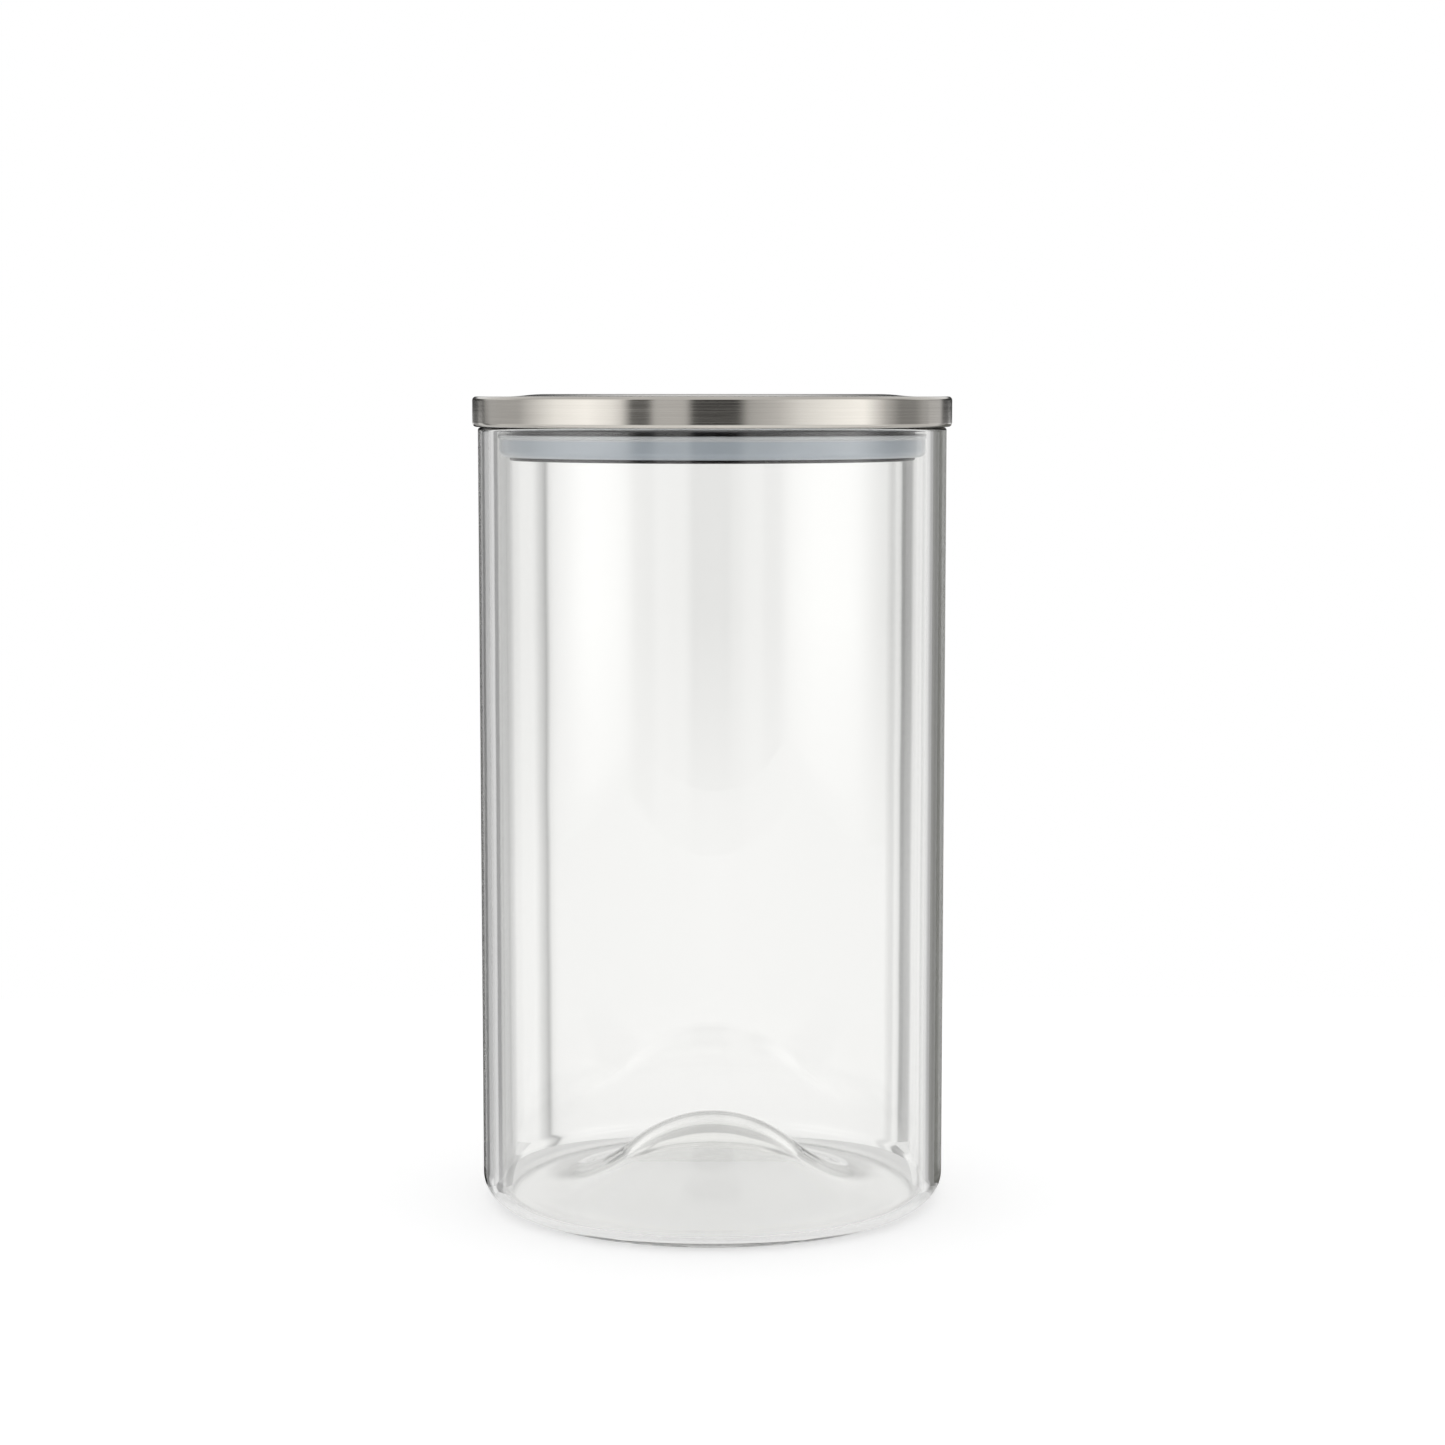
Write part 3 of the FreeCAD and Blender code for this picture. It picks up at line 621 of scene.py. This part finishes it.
# %% The plug's plastic
GRAIN_WIDTH, GRAIN_DEPTH, CLOUD_WIDTH = 0.5 * MM, 0.03 * MM, 14 * MM
plastic = bpy.data.materials.new("polypropylene_moulded_satin")
plastic.use_nodes = True
tree = plastic.node_tree
tree.nodes.clear()
spot = add_node(tree, "ShaderNodeTexCoord").outputs["Object"]
grain = add_node(tree, "ShaderNodeTexNoise", {"Vector": spot, "Scale": 1 / GRAIN_WIDTH, "Detail": 2.0})
cloud = add_node(tree, "ShaderNodeTexNoise", {"Vector": spot, "Scale": 1 / CLOUD_WIDTH, "Detail": 2.0})
shade = add_node(tree, "ShaderNodeMix", {
    "Factor": cloud.outputs[0], "A": linear("#141413"), "B": linear("#1C1C1B")}, data_type="RGBA")
dull = add_node(tree, "ShaderNodeMapRange", {
    "Value": cloud.outputs[0], **NOISE_SPAN, "To Min": 0.20, "To Max": 0.28})
pitted = add_node(tree, "ShaderNodeBump", {"Strength": 0.2, "Distance": GRAIN_DEPTH, "Height": grain.outputs[0]})
moulded = add_node(tree, "ShaderNodeBsdfPrincipled", {
    "Base Color": shade.outputs[2], "Roughness": dull.outputs["Result"], "IOR": 1.49, "Normal": pitted.outputs[0]})
add_node(tree, "ShaderNodeOutputMaterial", {"Surface": moulded.outputs[0]})
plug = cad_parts["lid_plug"]
plug.data.materials.clear()
plug.data.materials.append(plastic)
print("plug has", len(plug.data.polygons), "faces")

# %% [markdown]
# ## The silicone seal
#
# The seal is translucent silicone, moulded with a smooth face. Light enters it and scatters, so it looks milky and a
# cool blue-grey. Subsurface scattering could make that depth. On a ring this thin a pale, faintly clouded colour under
# a clear gloss coat is simpler and close enough. The bead along its top edge gets a paler colour, which is a painted
# highlight.

# %% The silicone
SEAL_TOP, SEAL_BOTTOM, BEAD_HEIGHT = RIM - 1.5, RIM - 6.3, 0.9
BEAD_HIGHLIGHT_FADE = 0.4 * BEAD_HEIGHT
BLOOM_WIDTH, BLOOM_DEPTH = 6 * MM, 0.05 * MM
silicone = bpy.data.materials.new("silicone_translucent_moulded")
silicone.use_nodes = True
tree = silicone.node_tree
tree.nodes.clear()
spot = add_node(tree, "ShaderNodeTexCoord").outputs["Object"]
bloom = add_node(tree, "ShaderNodeTexNoise", {"Vector": spot, "Scale": 1 / BLOOM_WIDTH, "Detail": 3.0})
shade = add_node(tree, "ShaderNodeMix", {
    "Factor": bloom.outputs[0], "A": linear("#CFDAE6"), "B": linear("#DCE6EF")}, data_type="RGBA")
height = add_node(tree, "ShaderNodeSeparateXYZ", {"Vector": spot}).outputs["Z"]
bead_foot = SEAL_TOP - BEAD_HEIGHT
# painted highlight: the bead at the seal's top edge is mixed to a paler colour by height
bead_highlight = add_node(tree, "ShaderNodeMapRange", {
    "Value": height, "From Min": (bead_foot - BEAD_HIGHLIGHT_FADE) * MM, "From Max": bead_foot * MM})
shade = add_node(tree, "ShaderNodeMix", {
    "Factor": bead_highlight.outputs["Result"], "A": shade.outputs[2], "B": linear("#F4F7FA")}, data_type="RGBA")
dull = add_node(tree, "ShaderNodeMapRange", {
    "Value": bloom.outputs[0], **NOISE_SPAN, "To Min": 0.30, "To Max": 0.40})
soft = add_node(tree, "ShaderNodeBump", {"Strength": 0.1, "Distance": BLOOM_DEPTH, "Height": bloom.outputs[0]})
milky = add_node(tree, "ShaderNodeBsdfPrincipled", {
    "Base Color": shade.outputs[2], "Roughness": dull.outputs["Result"], "IOR": 1.41,
    "Coat Weight": 1.0, "Coat Roughness": 0.12, "Normal": soft.outputs[0]})
add_node(tree, "ShaderNodeOutputMaterial", {"Surface": milky.outputs[0]})
print("silicone index", milky.inputs["IOR"].default_value)

# %% [markdown]
# The ring is cup-shaped: an outer leg for the jar's bore, an inner leg in the plug's groove and a web that joins them
# at the bottom, open above, so that it can give when it is pushed in. It is drawn as it sits when pressed in, a fifth
# of a millimetre clear of the glass. A plain torus would be quicker, but its outer face would not be the flat band that
# shows through the glass.

# %% The seal's section
SEAL_R, BEAD_DEPTH, LEG, CUP, WEB, FOOT_ROUND = 45.8, 0.3, 1.0, 1.2, 1.1, 1.4
BEAD_ROUND, BEAD_STEPS = 0.9 * BEAD_DEPTH, 8
band = SEAL_R - BEAD_DEPTH
cup_outer, cup_inner = band - LEG, band - LEG - CUP
groove = cup_inner - LEG
outline = [(groove, SEAL_BOTTOM)]
outline += arc(band - FOOT_ROUND, SEAL_BOTTOM + FOOT_ROUND, FOOT_ROUND, -90, 0)
outline += [(band, bead_foot)]
outline += arc(SEAL_R - BEAD_ROUND, bead_foot + BEAD_ROUND, BEAD_ROUND, -90, 0, BEAD_STEPS)
outline += arc(SEAL_R - BEAD_ROUND, SEAL_TOP - BEAD_ROUND, BEAD_ROUND, 0, 90, BEAD_STEPS)
outline += [(cup_outer, SEAL_TOP), (cup_outer, SEAL_BOTTOM + WEB), (cup_inner, SEAL_BOTTOM + WEB)]
outline += [(cup_inner, SEAL_TOP), (groove, SEAL_TOP)]
seal = turn_piece("silicone_seal", outline, silicone)
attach(seal, "lid")
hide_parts("seal_ring")
